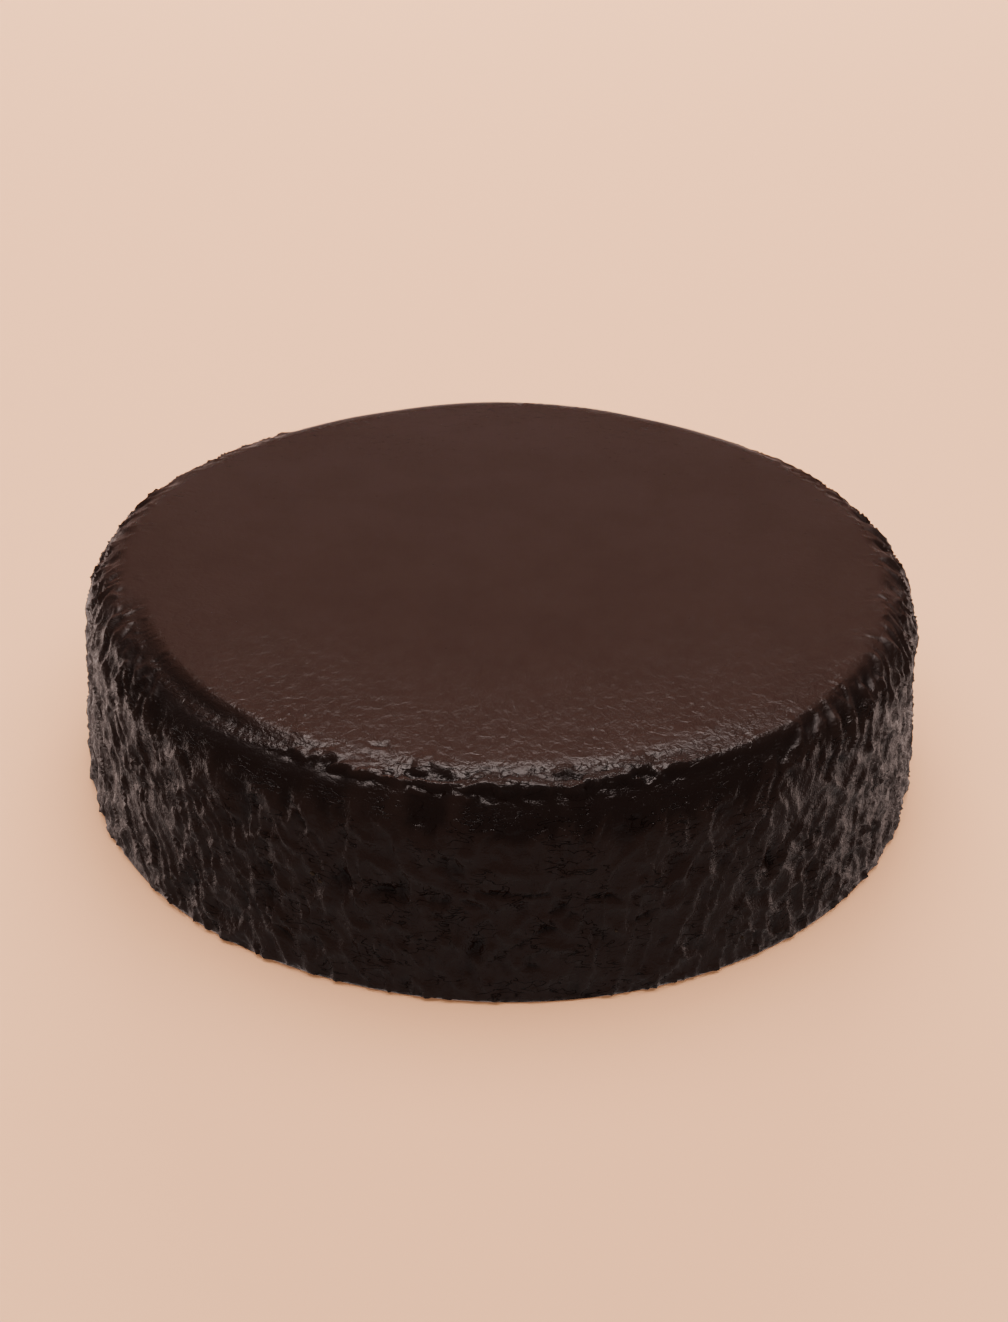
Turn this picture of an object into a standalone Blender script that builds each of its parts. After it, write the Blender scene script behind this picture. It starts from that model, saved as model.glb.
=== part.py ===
"""A whole, uncut sachertorte: a round chocolate cake under a poured chocolate glaze.

The cake is one piece, so it is one solid. Its top is nearly flat, its rim is rounded over, and its side is
craggy, with pits and a broken lip along the front of the rim. Lengths are in metres and +Z is up. The origin
is the middle of the foot, and the front of the cake faces -Y.
"""
import math

import bmesh
import bpy
from mathutils import Vector, noise

MM = 0.001

# Driving sizes
SHOULDER_RADIUS = 123.3 * MM   # where the side meets the rounded rim
FOOT_RADIUS = 125.8 * MM       # the side leans out a little towards the foot
HEIGHT = 62.2 * MM             # at the middle of the top
RIM_ROUND = 13.0 * MM          # radius of the rounded rim
CROWN_DROP = 0.7 * MM          # how far the top falls from its middle to the rim
FOOT_ROUND = 1.4 * MM          # the glaze turns in under the foot
FLAT_RADIUS = SHOULDER_RADIUS - RIM_ROUND
FLAT_HEIGHT = HEIGHT - CROWN_DROP
SIDE_TOP = FLAT_HEIGHT - RIM_ROUND

# Fineness of the mesh
STEPS = 208                    # round the cake
SIDE_ROWS = 13
RIM_ROWS = 6
TOP_RING_RADII = (104.0 * MM, 74.0 * MM, 40.0 * MM)

# The plan isn't a true circle: waves round it, as count, depth and azimuth of a crest in degrees
PLAN_WAVES = (
    (3, 0.70 * MM, 39.0),
    (4, 0.33 * MM, -17.0),
    (5, 0.68 * MM, 17.0),
    (6, 0.39 * MM, -28.0),
)

# Uneven glaze, as size and height of its lumps, its crags, the chips along its foot and the swell of its top
LUMP_SIZE = 24.0 * MM
LUMP_HEIGHT = 0.55 * MM
LUMP_FADE = 10.0 * MM
CRAG_SIZE = 9.0 * MM
CRAG_HEIGHT = 0.55 * MM
CRAG_STEEPNESS = 3.2
CRAG_WARP = 3.0 * MM
WARP_OFFSETS = (Vector((31.4, 0.0, 0.0)), Vector((0.0, 27.1, 0.0)), Vector((0.0, 0.0, 14.2)))
CHIP_SIZE = 8.0 * MM
CHIP_HEIGHT = 1.0 * MM
CHIP_REACH = 5.0 * MM          # how far up from the foot the chips go
SWELL_SIZE = 55.0 * MM
SWELL_HEIGHT = 0.25 * MM

# Places on the rim and the side are given by azimuth in degrees and by the distance down the profile, which is
# 0 where the flat top ends, grows down the rounded rim and the side, and is less than 0 on the top

# The crags start at the edge of the top, but lower down along the calm stretches of the rim, in front and at the
# back. For each: the azimuth of its middle, the angles from there at which it fades and ends, and how much lower
CRAG_RAMP = 9.0 * MM
CALM_STRETCHES = (
    (-97.0, 40.0, 52.0, 8.0 * MM),
    (86.0, 25.0, 50.0, 9.0 * MM),
)

# The broken lip along the front of the rim, the groove under it and the slope of the top towards it
LIP_MIDDLE = -90.0
LIP_REACH = 36.0
LIP_DOWN = 3.5 * MM
LIP_SPREAD = 6.0 * MM
LIP_RISE = 0.8 * MM
LIP_CLIMB = 4.0 * MM           # the lip lies higher up the rim at its ends than in its middle
LIP_CLIMB_START = 5.0
LIP_CLIMB_END = 30.0
GROOVE_DOWN = 10.5 * MM
GROOVE_SPREAD = 7.0 * MM
GROOVE_DEPTH = 1.7 * MM
SLOPE_REACH = 12.0 * MM
SLOPE_DROP = 0.7 * MM
LIP_PERIOD = 8.0 * MM
LIP_WANDER = 1.5 * MM
LIP_STRENGTH = 0.7
LIP_UNEVENNESS = 0.9
LIP_STRENGTH_ROW = Vector((0.0, 0.0, 4.7))
LIP_WANDER_ROW = Vector((0.0, 9.1, 0.0))

# Pits, each as azimuth, distance down the profile, width, height of its mouth, and depth
PITS = (
    (-113.4, 2.5 * MM, 4.0 * MM, 6.0 * MM, 1.4 * MM),
    (-102.0, -0.5 * MM, 7.0 * MM, 5.0 * MM, 1.5 * MM),
    (-98.5, -3.0 * MM, 9.0 * MM, 5.0 * MM, 1.0 * MM),
    (-98.5, 12.5 * MM, 9.0 * MM, 6.0 * MM, 1.5 * MM),
    (-89.5, 16.5 * MM, 12.0 * MM, 4.0 * MM, 1.0 * MM),
    (-83.5, 14.0 * MM, 8.0 * MM, 4.0 * MM, 1.0 * MM),
    (-73.0, 16.0 * MM, 9.0 * MM, 5.0 * MM, 1.2 * MM),
    (-69.5, 0.5 * MM, 6.0 * MM, 5.0 * MM, 1.4 * MM),
    (-119.0, 39.2 * MM, 5.0 * MM, 5.0 * MM, 1.3 * MM),
    (-108.5, 35.8 * MM, 8.0 * MM, 6.0 * MM, 1.6 * MM),
    (-103.1, 36.6 * MM, 10.0 * MM, 5.0 * MM, 1.7 * MM),
    (-96.5, 37.0 * MM, 8.0 * MM, 5.0 * MM, 1.4 * MM),
    (-92.1, 52.0 * MM, 6.0 * MM, 5.0 * MM, 1.6 * MM),
    (-53.6, 39.0 * MM, 6.0 * MM, 7.0 * MM, 1.5 * MM),
    (-30.9, 55.0 * MM, 6.0 * MM, 7.0 * MM, 1.4 * MM),
)

PIT_EDGE = 1.5                 # how far the slope of a pit goes past its mouth
POLE_RADIUS = 0.5 * MM         # nothing moves nearer to the axis than this

GLAZE_COLOUR = (0.030, 0.013, 0.008, 1.0)
GLAZE_ROUGHNESS = 0.38


def clear_scene():
    for thing in list(bpy.data.objects):
        bpy.data.objects.remove(thing, do_unlink=True)


def new_collection(name):
    collection = bpy.data.collections.new(name)
    bpy.context.scene.collection.children.link(collection)
    return collection


def glaze_material():
    material = bpy.data.materials.new("chocolate_glaze")
    material.use_nodes = True
    shader = material.node_tree.nodes["Principled BSDF"]
    shader.inputs["Base Color"].default_value = GLAZE_COLOUR
    shader.inputs["Roughness"].default_value = GLAZE_ROUGHNESS
    shader.inputs["Metallic"].default_value = 0.0
    material.diffuse_color = GLAZE_COLOUR
    return material


def smooth(low, high, value):
    """0 at low, 1 at high, and a soft curve between them."""
    t = min(max((value - low) / (high - low), 0.0), 1.0)
    return t * t * (3.0 - 2.0 * t)


def bell(distance, reach):
    """1 in the middle, falling softly to 0 at the reach."""
    return 1.0 - smooth(0.0, reach, abs(distance))


def profile():
    """The cake's outline from the middle of the top, down its outer side, to the middle of the foot."""
    points = [(0.0, HEIGHT)]
    for radius in reversed(TOP_RING_RADII):
        points.append((radius, HEIGHT - CROWN_DROP * (radius / FLAT_RADIUS) ** 2))
    for row in range(RIM_ROWS + 1):
        tilt = math.radians(90.0) * row / RIM_ROWS
        radius = FLAT_RADIUS + RIM_ROUND * math.sin(tilt)
        points.append((radius, FLAT_HEIGHT - RIM_ROUND * (1.0 - math.cos(tilt))))
    for row in range(1, SIDE_ROWS + 1):
        share = row / SIDE_ROWS
        radius = SHOULDER_RADIUS + (FOOT_RADIUS - SHOULDER_RADIUS) * share
        points.append((radius, SIDE_TOP + (FOOT_ROUND - SIDE_TOP) * share))
    points.append((FOOT_RADIUS - FOOT_ROUND, 0.0))
    points.append((0.0, 0.0))
    return points


def turned_body(name, collection):
    """The profile turned once round +Z."""
    mesh = bpy.data.meshes.new(name)
    points = profile()
    rim = [(index, index + 1) for index in range(len(points) - 1)]
    mesh.from_pydata([(radius, 0.0, height) for radius, height in points], rim, [])
    body = bpy.data.objects.new(name, mesh)
    collection.objects.link(body)
    turn = body.modifiers.new("turn", "SCREW")
    turn.axis = "Z"
    turn.angle = math.tau
    turn.steps = STEPS
    turn.render_steps = STEPS
    turn.use_merge_vertices = True
    turn.merge_threshold = 0.00001
    bpy.context.view_layer.objects.active = body
    body.select_set(True)
    bpy.ops.object.modifier_apply(modifier=turn.name)
    return body


def plan_wave(azimuth):
    """How far the plan stands outside a true circle, at an azimuth in radians."""
    return sum(
        depth * math.cos(count * (azimuth - math.radians(crest)))
        for count, depth, crest in PLAN_WAVES
    )


def down_profile(radius, height):
    """The distance down the profile from where the flat top ends to a point on the turned surface."""
    out = radius - FLAT_RADIUS
    up = height - SIDE_TOP
    if out < 0.0:
        return out
    if up < 0.0:
        return 0.5 * math.pi * RIM_ROUND - up
    return RIM_ROUND * math.atan2(out, up)


def crags(place):
    """Wavy ridges with shallow bowls between them, from about -1 in a bowl to 1 on a crest."""
    slow = place / (2.0 * CRAG_SIZE)
    warp = Vector([noise.noise(slow + offset) for offset in WARP_OFFSETS]) * CRAG_WARP
    return 1.0 - CRAG_STEEPNESS * abs(noise.noise((place + warp) / CRAG_SIZE))


def turn_from(azimuth, middle):
    """The angle in radians from a place given in degrees, the short way round."""
    return (azimuth - math.radians(middle) + math.pi) % math.tau - math.pi


def crag_cover(azimuth, down):
    """0 where the glaze is smooth, 1 where it is as craggy as anywhere."""
    start = sum(
        shift * (1.0 - smooth(fade, end, abs(math.degrees(turn_from(azimuth, middle)))))
        for middle, fade, end, shift in CALM_STRETCHES
    )
    return smooth(start, start + CRAG_RAMP, down)


def front_lip(azimuth, down):
    """The rolled lip on the front of the rim, the groove under it, and the slope of the top towards it."""
    turn = turn_from(azimuth, LIP_MIDDLE)
    along = bell(math.degrees(turn), LIP_REACH)
    if along == 0.0:
        return 0.0
    step = Vector((SHOULDER_RADIUS * turn / LIP_PERIOD, 0.0, 0.0))
    broken = LIP_STRENGTH + LIP_UNEVENNESS * noise.noise(step + LIP_STRENGTH_ROW)
    climb = LIP_CLIMB * smooth(LIP_CLIMB_START, LIP_CLIMB_END, abs(math.degrees(turn)))
    shifted = down + climb - LIP_WANDER * noise.noise(step + LIP_WANDER_ROW)
    rise = LIP_RISE * bell(shifted - LIP_DOWN, LIP_SPREAD)
    fall = GROOVE_DEPTH * bell(shifted - GROOVE_DOWN, GROOVE_SPREAD)
    slope = SLOPE_DROP * bell(down, SLOPE_REACH)
    return math.sqrt(along) * (broken * (rise - fall) - slope)


def pits(azimuth, down):
    """The hollows at their own places, as a depth below 0."""
    depth = 0.0
    for middle, level, width, tall, deep in PITS:
        across = turn_from(azimuth, middle) * SHOULDER_RADIUS / (0.5 * width)
        along = (down - level) / (0.5 * tall)
        depth -= deep * bell(math.hypot(across, along), PIT_EDGE)
    return depth


def relief(place, azimuth, down):
    """How far the glaze stands out of the turned surface at a point."""
    cover = crag_cover(azimuth, down)
    lumps = LUMP_HEIGHT * noise.noise(place / LUMP_SIZE) * smooth(0.0, LUMP_FADE, down)
    craggy = CRAG_HEIGHT * crags(place) * cover
    chips = CHIP_HEIGHT * noise.noise(place / CHIP_SIZE) * bell(place.z, CHIP_REACH)
    swell = SWELL_HEIGHT * noise.noise(place / SWELL_SIZE) * (1.0 - cover)
    return lumps + craggy + chips + swell + front_lip(azimuth, down) + pits(azimuth, down)


def roughen(body):
    """Gives the turned body its uneven plan and its relief. The face under the foot stays flat."""
    sculpt = bmesh.new()
    sculpt.from_mesh(body.data)
    bmesh.ops.recalc_face_normals(sculpt, faces=sculpt.faces)
    sculpt.normal_update()
    moves = []
    for vertex in sculpt.verts:
        place = vertex.co.copy()
        radius = math.hypot(place.x, place.y)
        if radius < POLE_RADIUS:
            continue
        azimuth = math.atan2(place.y, place.x)
        outward = Vector((math.cos(azimuth), math.sin(azimuth), 0.0))
        move = outward * (plan_wave(azimuth) * min(radius / SHOULDER_RADIUS, 1.0))
        if place.z > 0.5 * FOOT_ROUND:
            move += vertex.normal * relief(place, azimuth, down_profile(radius, place.z))
        moves.append((vertex, move))
    for vertex, move in moves:
        vertex.co += move
        vertex.co.z = max(vertex.co.z, 0.0)
    sculpt.to_mesh(body.data)
    sculpt.free()


def build_cake(collection):
    cake = turned_body("glazed_cake", collection)
    roughen(cake)
    cake.data.materials.append(glaze_material())
    cake.data.shade_smooth()
    return cake


def main():
    clear_scene()
    build_cake(new_collection("sachertorte"))


main()
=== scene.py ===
import math

import bmesh
import bpy
from mathutils import Matrix, Vector, noise


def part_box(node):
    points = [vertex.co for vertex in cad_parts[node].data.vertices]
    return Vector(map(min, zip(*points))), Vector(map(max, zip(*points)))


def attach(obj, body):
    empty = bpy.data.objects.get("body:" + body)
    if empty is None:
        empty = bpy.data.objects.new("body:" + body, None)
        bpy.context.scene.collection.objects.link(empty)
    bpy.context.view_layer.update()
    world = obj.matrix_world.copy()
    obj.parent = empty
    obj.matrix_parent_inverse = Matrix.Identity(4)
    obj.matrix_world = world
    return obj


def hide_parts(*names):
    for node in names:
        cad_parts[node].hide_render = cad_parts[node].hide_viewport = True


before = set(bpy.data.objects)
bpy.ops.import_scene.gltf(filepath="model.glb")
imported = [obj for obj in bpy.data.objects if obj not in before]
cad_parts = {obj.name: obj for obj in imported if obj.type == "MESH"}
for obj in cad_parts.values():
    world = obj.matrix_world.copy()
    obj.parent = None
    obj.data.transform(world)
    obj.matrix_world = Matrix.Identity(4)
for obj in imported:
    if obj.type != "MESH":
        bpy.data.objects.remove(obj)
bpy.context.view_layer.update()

NODE = "glazed_cake"
BODY = "root"
NODE_LOW, NODE_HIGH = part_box(NODE)

bl_info = {
    "name": "Sachertorte",
    "version": (1, 0, 0),
    "blender": (4, 5, 0),
    "location": "3D View > Sidebar > Sachertorte",
    "description": "Builds a glazed chocolate cake and a plain studio round it",
    "category": "Object",
}

MM = 0.001

# Heights this close together count as the same
CLOSE = 0.01 * MM

# The turned shape, as in the solid
SHOULDER_RADIUS = 123.3 * MM
FOOT_RADIUS = 125.8 * MM
HEIGHT = NODE_HIGH.z - NODE_LOW.z
RIM_ROUND = 13.0 * MM
CROWN_DROP = 0.7 * MM
FOOT_ROUND = 1.4 * MM
FLAT_RADIUS = SHOULDER_RADIUS - RIM_ROUND

# Fineness of the mesh
AROUND = 960
RIM_ROWS = 24
SIDE_ROWS = 55
FOOT_ROWS = 2
TOP_INSETS = (0.9 * MM,) * 12 + (3.0 * MM, 6.0 * MM, 10.0 * MM, 16.0 * MM, 24.0 * MM, 30.0 * MM)

# The uneven plan and the coarse relief, as in the solid
PLAN_WAVES = (
    (3, 0.70 * MM, 39.0),
    (4, 0.33 * MM, -17.0),
    (5, 0.68 * MM, 17.0),
    (6, 0.39 * MM, -28.0),
)
LUMP_SIZE = 24.0 * MM
LUMP_HEIGHT = 0.55 * MM
LUMP_FADE = 10.0 * MM
CRAG_SIZE = 9.0 * MM
CRAG_HEIGHT = 0.55 * MM
CRAG_STEEPNESS = 3.2
CRAG_WARP = 3.0 * MM
WARP_OFFSETS = (Vector((31.4, 0.0, 0.0)), Vector((0.0, 27.1, 0.0)), Vector((0.0, 0.0, 14.2)))
CHIP_SIZE = 8.0 * MM
CHIP_HEIGHT = 1.0 * MM
CHIP_REACH = 5.0 * MM
SWELL_SIZE = 55.0 * MM
SWELL_HEIGHT = 0.25 * MM

# Places on the rim and the side are given by azimuth in degrees and by the distance down the profile, which is
# 0 where the flat top ends, grows down the rounded rim and the side, and is less than 0 on the top

# The crags start at the edge of the top, but lower down along the calm stretches of the rim, in front and at the
# back. For each: the azimuth of its middle, the angles from there at which it fades and ends, and how much lower
CRAG_RAMP = 9.0 * MM
CALM_STRETCHES = (
    (-97.0, 40.0, 52.0, 8.0 * MM),
    (86.0, 25.0, 50.0, 9.0 * MM),
)

# The broken lip along the front of the rim: a rolled edge, a ledge under it, and folds on it
LIP_MIDDLE = -90.0
LIP_REACH = 36.0
LIP_DOWN = 2.0 * MM
LIP_SPREAD = 4.5 * MM
LIP_RISE = 0.4 * MM
LIP_CLIMB = 2.2 * MM
LIP_CLIMB_START = 8.0
LIP_CLIMB_END = 28.0
SLOPE_REACH = 9.0 * MM
SLOPE_DROP = 0.9 * MM
LIP_PERIOD = 8.0 * MM
LIP_WANDER = 2.8 * MM
LIP_STRENGTH = 0.85
LIP_UNEVENNESS = 0.9
LIP_STRENGTH_ROW = Vector((0.0, 0.0, 4.7))
LIP_WANDER_ROW = Vector((0.0, 9.1, 0.0))
LEDGE_DOWN = 2.8 * MM
LEDGE_DROP = 1.4 * MM
LEDGE_HOLD = 10.0 * MM
LEDGE_END = 24.0 * MM
LEDGE_DEPTH = 2.1 * MM
FOLD_SIZE = 7.5 * MM
FOLD_STRETCH = 0.6
FOLD_WARP = 7.0 * MM
FOLD_WIDTH = 0.45
FOLD_DEPTH = 0.70 * MM
FOLD_LEVEL = 0.6
FOLD_TOP = -7.0 * MM
FOLD_FOOT = 8.0 * MM

# The two smoother stretches of rim beside the lip, where the glaze falls away more steeply than the rounding does.
# For each: azimuth of its middle, reach in degrees, where the fall starts and ends, its depth, and how far the edge
# of the top sinks towards it
FALLS = (
    (-140.0, 32.0, -5.0 * MM, 1.5 * MM, 1.9 * MM, 0.0 * MM),
    (-50.0, 32.0, 0.0 * MM, 6.5 * MM, 1.3 * MM, 0.45 * MM),
)
FALL_HOLD = 10.0 * MM
FALL_END = 24.0 * MM
SINK_REACH = 11.0 * MM

# Rolls of glaze on the lip, each as azimuth, distance down the profile, width, height of its foot, and rise. They
# rise softly from the top and are steep on their underside
ROLLS = (
    (-119.5, -5.0 * MM, 9.0 * MM, 6.0 * MM, 0.30 * MM),
    (-113.3, -2.0 * MM, 9.0 * MM, 7.0 * MM, 0.50 * MM),
    (-108.1, 3.0 * MM, 14.0 * MM, 3.6 * MM, 1.20 * MM),
    (-103.6, 3.6 * MM, 7.0 * MM, 3.0 * MM, 1.00 * MM),
    (-99.9, 5.2 * MM, 12.0 * MM, 4.4 * MM, 1.60 * MM),
    (-94.4, 6.0 * MM, 9.0 * MM, 3.4 * MM, 1.20 * MM),
    (-99.0, -4.5 * MM, 26.0 * MM, 11.0 * MM, 0.60 * MM),
    (-88.4, 0.8 * MM, 12.0 * MM, 7.0 * MM, 0.60 * MM),
    (-81.4, -3.0 * MM, 12.0 * MM, 9.0 * MM, 0.70 * MM),
    (-79.6, 4.4 * MM, 17.0 * MM, 4.4 * MM, 1.40 * MM),
    (-75.4, 0.0 * MM, 8.0 * MM, 7.0 * MM, 0.50 * MM),
    (-70.8, -3.6 * MM, 15.0 * MM, 9.0 * MM, 0.70 * MM),
    (-70.6, 4.4 * MM, 8.0 * MM, 3.2 * MM, 1.00 * MM),
    (-87.0, 5.6 * MM, 6.0 * MM, 3.0 * MM, 0.90 * MM),
    (-64.8, 0.5 * MM, 10.0 * MM, 6.0 * MM, 0.50 * MM),
)
ROLL_UNDER = 1.7

# Pits, each as azimuth, distance down the profile, width, height of its mouth, and depth
PITS = (
    (-113.4, 1.5 * MM, 4.0 * MM, 5.0 * MM, 0.8 * MM),
    (-100.8, 0.4 * MM, 9.0 * MM, 4.2 * MM, 1.5 * MM),
    (-97.0, 0.0 * MM, 8.0 * MM, 3.2 * MM, 1.1 * MM),
    (-104.5, 0.8 * MM, 6.0 * MM, 2.6 * MM, 0.9 * MM),
    (-98.5, 12.5 * MM, 9.0 * MM, 6.0 * MM, 1.5 * MM),
    (-89.5, 16.5 * MM, 12.0 * MM, 4.0 * MM, 1.0 * MM),
    (-83.5, 14.0 * MM, 8.0 * MM, 4.0 * MM, 1.0 * MM),
    (-73.0, 16.0 * MM, 9.0 * MM, 5.0 * MM, 1.2 * MM),
    (-70.4, 1.4 * MM, 6.0 * MM, 4.0 * MM, 1.6 * MM),
    (-79.2, -1.6 * MM, 4.0 * MM, 2.8 * MM, 0.9 * MM),
    (-108.0, -8.5 * MM, 9.0 * MM, 2.2 * MM, 0.5 * MM),
    (-119.0, 39.2 * MM, 5.0 * MM, 5.0 * MM, 1.3 * MM),
    (-108.5, 35.8 * MM, 8.0 * MM, 6.0 * MM, 1.6 * MM),
    (-103.1, 36.6 * MM, 10.0 * MM, 5.0 * MM, 1.7 * MM),
    (-96.5, 37.0 * MM, 8.0 * MM, 5.0 * MM, 1.4 * MM),
    (-92.1, 52.0 * MM, 6.0 * MM, 5.0 * MM, 1.6 * MM),
    (-53.6, 39.0 * MM, 6.0 * MM, 7.0 * MM, 1.5 * MM),
    (-30.9, 55.0 * MM, 6.0 * MM, 7.0 * MM, 1.4 * MM),
)
PIT_EDGE = 1.5

# How far the outlines of pits and rolls are pushed about, and the size of those bites
RAG = 2.4 * MM
RAG_SIZE = 3.2 * MM

# Cracks, each as azimuth and distance down the profile at its middle, length, slope in degrees (a crack with a
# slope above 0 falls to the right) and depth
CRACKS = (
    (-88.5, 34.0 * MM, 25.0 * MM, 2.0, 1.3 * MM),
    (-77.2, 36.8 * MM, 12.0 * MM, 8.0, 1.2 * MM),
    (-92.8, 37.4 * MM, 6.0 * MM, 10.0, 0.9 * MM),
    (-82.6, 39.5 * MM, 6.0 * MM, -25.0, 1.0 * MM),
    (-81.0, 41.5 * MM, 5.0 * MM, -30.0, 0.9 * MM),
    (-83.6, 45.4 * MM, 8.0 * MM, -20.0, 1.0 * MM),
    (-86.5, 48.9 * MM, 6.0 * MM, -40.0, 0.9 * MM),
    (-71.9, 44.4 * MM, 9.0 * MM, -18.0, 1.0 * MM),
    (-86.0, 57.6 * MM, 8.0 * MM, 0.0, 1.0 * MM),
    (-69.4, 54.0 * MM, 5.0 * MM, -20.0, 0.8 * MM),
    (-114.4, 20.0 * MM, 12.0 * MM, 48.0, 1.0 * MM),
    (-117.4, 57.0 * MM, 12.0 * MM, 32.0, 0.9 * MM),
    (-97.2, 41.5 * MM, 5.0 * MM, 5.0, 0.8 * MM),
    (-106.0, 47.0 * MM, 7.0 * MM, 15.0, 0.7 * MM),
    (150.0, 40.0 * MM, 14.0 * MM, 12.0, 1.0 * MM),
    (95.0, 30.0 * MM, 18.0 * MM, -5.0, 1.1 * MM),
    (60.0, 48.0 * MM, 10.0 * MM, 8.0, 1.0 * MM),
    (20.0, 37.0 * MM, 12.0 * MM, -10.0, 1.0 * MM),
)
CRACK_WIDTH = 1.3 * MM
CRACK_TIP = 0.55
CRACK_FADE = 0.30
CRACK_WANDER = 1.0 * MM
CRACK_WANDER_SIZE = 3.5 * MM

# Finer relief that only the glaze's skin shows: slanting veins, longer down the side than round it, and on the edge
# of the top short strokes that run outwards
FINE_START = -10.0 * MM
VEIN_SIZE = 6.2 * MM
VEIN_STRETCH = 1.75
VEIN_SLANT = math.radians(0.42) / MM
VEIN_WIDTH = 0.38
VEIN_LEVEL = 0.3
VEIN_DEPTH = 1.15 * MM
SMALL_VEIN_SIZE = 3.2 * MM
SMALL_VEIN_DEPTH = 0.45 * MM
CALM_FRONT = 0.08
CALM_REACH = 48.0
STROKE_SIZE = 2.6 * MM
STROKE_STRETCH = 2.6
STROKE_WARP = 4.0 * MM
STROKE_HEIGHT = 0.32 * MM
STROKE_PATCH = 9.0 * MM
STROKE_BAND = (-7.0 * MM, -1.0 * MM, 2.0 * MM, 8.0 * MM)
STROKE_PATCHES = (-0.1, 0.25)
STROKE_CALM = 0.6

# Marks that the finish reads: the stretches down the profile where each starts, is full, and, if it ends, where it
# fades and ends. The painted shade in hollows goes by depth and ripples by radius
SIDE_MARK = (2.0 * MM, 14.0 * MM)
# The rim mark also lays the painted shade on the front lip, besides its roughness, curls and fewer ripples
RIM_MARK = (-10.0 * MM, -3.0 * MM, 3.0 * MM, 8.0 * MM)
RIM_MIDDLE = -80.0
RIM_REACH = 46.0
SHOULDER_MARK = (0.5 * MM, 6.0 * MM, 7.0 * MM, 13.0 * MM)
HOLLOW_SHADE_MARK = (0.2 * MM, 1.6 * MM)
RIPPLE_MARK = (40.0 * MM, 80.0 * MM)
RIPPLE_FORWARD = (-0.1, 0.9)
RIPPLE_BEHIND = 0.3
RIPPLE_LOST_ON_RIM = 0.3

# Scales of the finish's patterns per metre. Those with two numbers are per radian round the cake and per metre along
# its profile
CLOUD_SCALE = 55.0
MOTTLE_SCALE = 800.0
FISSURE_SCALES = (22.0, 420.0)
FISSURE_PATCH_SCALE = 120.0
SMEAR_SCALE = 260.0
RIPPLE_SCALES = (34.0, 330.0)
SKIN_SCALES = (80.0, 330.0)
CURL_SCALE = 150.0
SICKLE_SCALE = 110.0
PORE_SCALE = 1300.0
BUBBLE_SCALE = 110.0
CRUMB_SCALE = 2500.0

# How those patterns are cut from their noises. A step says at which values of the noise it starts and ends, a line
# how far from the noise's middle value it reaches, and a share how strongly it shows
CLOUD_STEP = (0.35, 0.65)
MOTTLE_STEP = (0.40, 0.70)
MOTTLE_SHARE = 0.20
# Share of the painted shade that the deepest hollows get
HOLLOW_SHADE_SHARE = 0.75
FISSURE_LINE = 0.022
FISSURE_PATCH_STEP = (0.48, 0.60)
SMEAR_STEP = (0.3, 0.7)
SMEAR_SPREAD = 0.03
SKIN_LINE = 0.14
CURL_LINE = 0.09
SICKLE_LINE = 0.045
BUBBLE_REACH = 0.04
CRUMB_STEP = (0.35, 0.65)
CRUMB_DARK_SHARE = 0.45
CRUMB_BUMP_STRENGTH = 0.5
CRUMB_BUMP_HEIGHT = 0.0001
GLAZE_IOR = 1.46
CRUMB_ROUGHNESS = 0.75

# Crumbs caught on the side, as azimuth and distance down the profile
CRUMBS = ((-123.5, 44.0 * MM), (-119.2, 37.8 * MM), (-112.8, 35.5 * MM), (-135.5, 58.0 * MM), (-111.6, 37.0 * MM),
          (-75.5, 47.0 * MM), (-58.0, 60.5 * MM), (160.0, 42.0 * MM), (78.0, 55.0 * MM), (25.0, 47.0 * MM))
CRUMB_SIZE = 0.5 * MM
CRUMB_SMALLEST = 0.7
CRUMB_SPREAD = 0.5
CRUMB_SHAPE = (1.0, 1.35, 0.8)
CRUMB_LUMP_SIZE = 0.8
CRUMB_LUMP_HEIGHT = 0.45
CRUMB_STAND = 0.35

# The camera, as it stands to the middle of the foot
CAMERA_PITCH = math.radians(31.75)
CAMERA_ROLL = math.radians(1.14)
CAMERA_DISTANCE = 0.7249
CAMERA_RIGHT = 0.0013
CAMERA_RISE = 0.0245
CAMERA_LENS = 63.5
CAMERA_SENSOR = 36.0
CAMERA_CLIP_START = 0.01

# The lights, each as azimuth and elevation in degrees, distance from the cake's middle, width and height
BACK_LIGHT = (90.0, 16.0, 2.6, 1.8, 0.5)
SHEEN_LIGHT = (88.0, 58.0, 2.6, 1.35, 0.6)
FILL_LIGHT = (-90.0, 62.0, 2.0, 1.4, 0.8)
LEFT_LIGHT = (155.0, -12.0, 1.8, 1.8, 0.9)
RIGHT_LIGHT = (25.0, -12.0, 1.8, 1.8, 0.9)
FLOOR_LIGHT = (90.0, 86.0, 2.6, 4.2, 4.2)
WHITE = (1.0, 1.0, 1.0)

# Where the air's low glow and its light from below start and are full, by a direction's own part
GLOW_BEHIND = (-0.15, 0.65)
GLOW_LOW = (-0.10, 0.10)
BOUNCE_BELOW = (-0.25, 0.05)

# The floor lies a little under the cake's foot
FLOOR_SIZE = 12.0
FLOOR_GAP = 0.2 * MM
FLOOR_ROUGHNESS = 0.9


def smooth(low, high, value):
    """0 at low, 1 at high, and a soft curve between them."""
    t = min(max((value - low) / (high - low), 0.0), 1.0)
    return t * t * (3.0 - 2.0 * t)


def bell(distance, reach):
    """1 in the middle, falling softly to 0 at the reach."""
    return 1.0 - smooth(0.0, reach, abs(distance))


def band(low, full, fade, end, value):
    """0 up to low, 1 from full to fade, and 0 again from the end on, with soft curves between them."""
    return smooth(low, full, value) * (1.0 - smooth(fade, end, value))


def turn_from(azimuth, middle):
    """The angle in radians from a place given in degrees, the short way round."""
    return (azimuth - math.radians(middle) + math.pi) % math.tau - math.pi


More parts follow.
